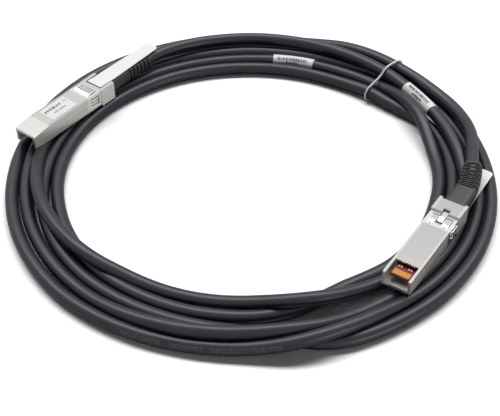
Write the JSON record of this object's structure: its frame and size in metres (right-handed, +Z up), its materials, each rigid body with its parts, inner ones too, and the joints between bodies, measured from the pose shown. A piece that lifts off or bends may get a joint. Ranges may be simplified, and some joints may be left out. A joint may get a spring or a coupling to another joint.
{
  "type": "direct attach copper cable",
  "caption": "Coiled round black data cable with a metal plug module at each end, each with a spring-finger collar, a latch freed by a pull tab, and a slotted strain relief boot.",
  "frame": {"origin": "on the floor under the middle of the coil, with the coil's underside at z = 0", "axes": "+Z up, square to the plane of the coil; +Y away from the viewer of the picture and +X to the viewer's right"},
  "size_m": [0.2427, 0.2402, 0.0176],
  "materials": {
    "cable_jacket": "satin",
    "boot_black": "matte",
    "diecast_metal": "nickel plated",
    "spring_steel": "bright",
    "latch_steel": "satin",
    "ferrule_metal": "satin",
    "board_red": "solder mask",
    "chip_black": "moulded",
    "capacitor_tan": "ceramic",
    "wire_jacket": "foil wrapped",
    "tab_film": "translucent",
    "tie_clear": "translucent",
    "label_white": "film"
  },
  "bodies": {
    "cable": {"base_shell_a": "diecast_metal", "cover_plate_a": "diecast_metal", "emi_collar_a": "spring_steel", "circuit_board_a": "board_red", "memory_chip_a": "chip_black", "capacitors_a": "capacitor_tan", "wire_pair_upper_a": "wire_jacket", "wire_pair_lower_a": "wire_jacket", "crimp_ferrule_a": "ferrule_metal", "latch_pin_a": "latch_steel", "boot_a": "boot_black", "plug_label_a": "label_white", "base_shell_b": "diecast_metal", "cover_plate_b": "diecast_metal", "emi_collar_b": "spring_steel", "circuit_board_b": "board_red", "memory_chip_b": "chip_black", "capacitors_b": "capacitor_tan", "wire_pair_upper_b": "wire_jacket", "wire_pair_lower_b": "wire_jacket", "crimp_ferrule_b": "ferrule_metal", "latch_pin_b": "latch_steel", "boot_b": "boot_black", "plug_label_b": "label_white", "cable_coil": "cable_jacket", "cable_tail_a": "cable_jacket", "cable_tail_b": "cable_jacket", "wire_tie": "tie_clear", "cable_label_1": "label_white", "cable_label_2": "label_white"},
    "release_a": {"slider_a": "latch_steel", "pull_tab_a": "tab_film"},
    "rocker_a": {"latch_a": "latch_steel"},
    "release_b": {"slider_b": "latch_steel", "pull_tab_b": "tab_film"},
    "rocker_b": {"latch_b": "latch_steel"}
  },
  "joints": [
    {"name": "tab_pull_a", "type": "slide", "parent": "cable", "child": "release_a", "axis": [0.6074, 0.7944, 0], "range_m": [0, 0.0024], "stiffness_N_per_m": 500, "springref_m": -0.001},
    {"name": "latch_turn_a", "type": "hinge", "parent": "cable", "child": "rocker_a", "pos_m": [-0.08136, 0.05437, 0.0094], "axis": [-0.7944, 0.6074, 0], "range_deg": [0, 8.1]},
    {"name": "tab_pull_b", "type": "slide", "parent": "cable", "child": "release_b", "axis": [0.5476, 0.8368, 0], "range_m": [0, 0.0024], "stiffness_N_per_m": 500, "springref_m": -0.001},
    {"name": "latch_turn_b", "type": "hinge", "parent": "cable", "child": "rocker_b", "pos_m": [0.08982, -0.04377, 0.0151], "axis": [0.8368, -0.5476, 0], "range_deg": [0, 8.1]}
  ],
  "couplings": [
    {"joint": "latch_turn_a", "follows": "tab_pull_a", "rad_per_m": 58.1},
    {"joint": "latch_turn_b", "follows": "tab_pull_b", "rad_per_m": 58.1}
  ]
}
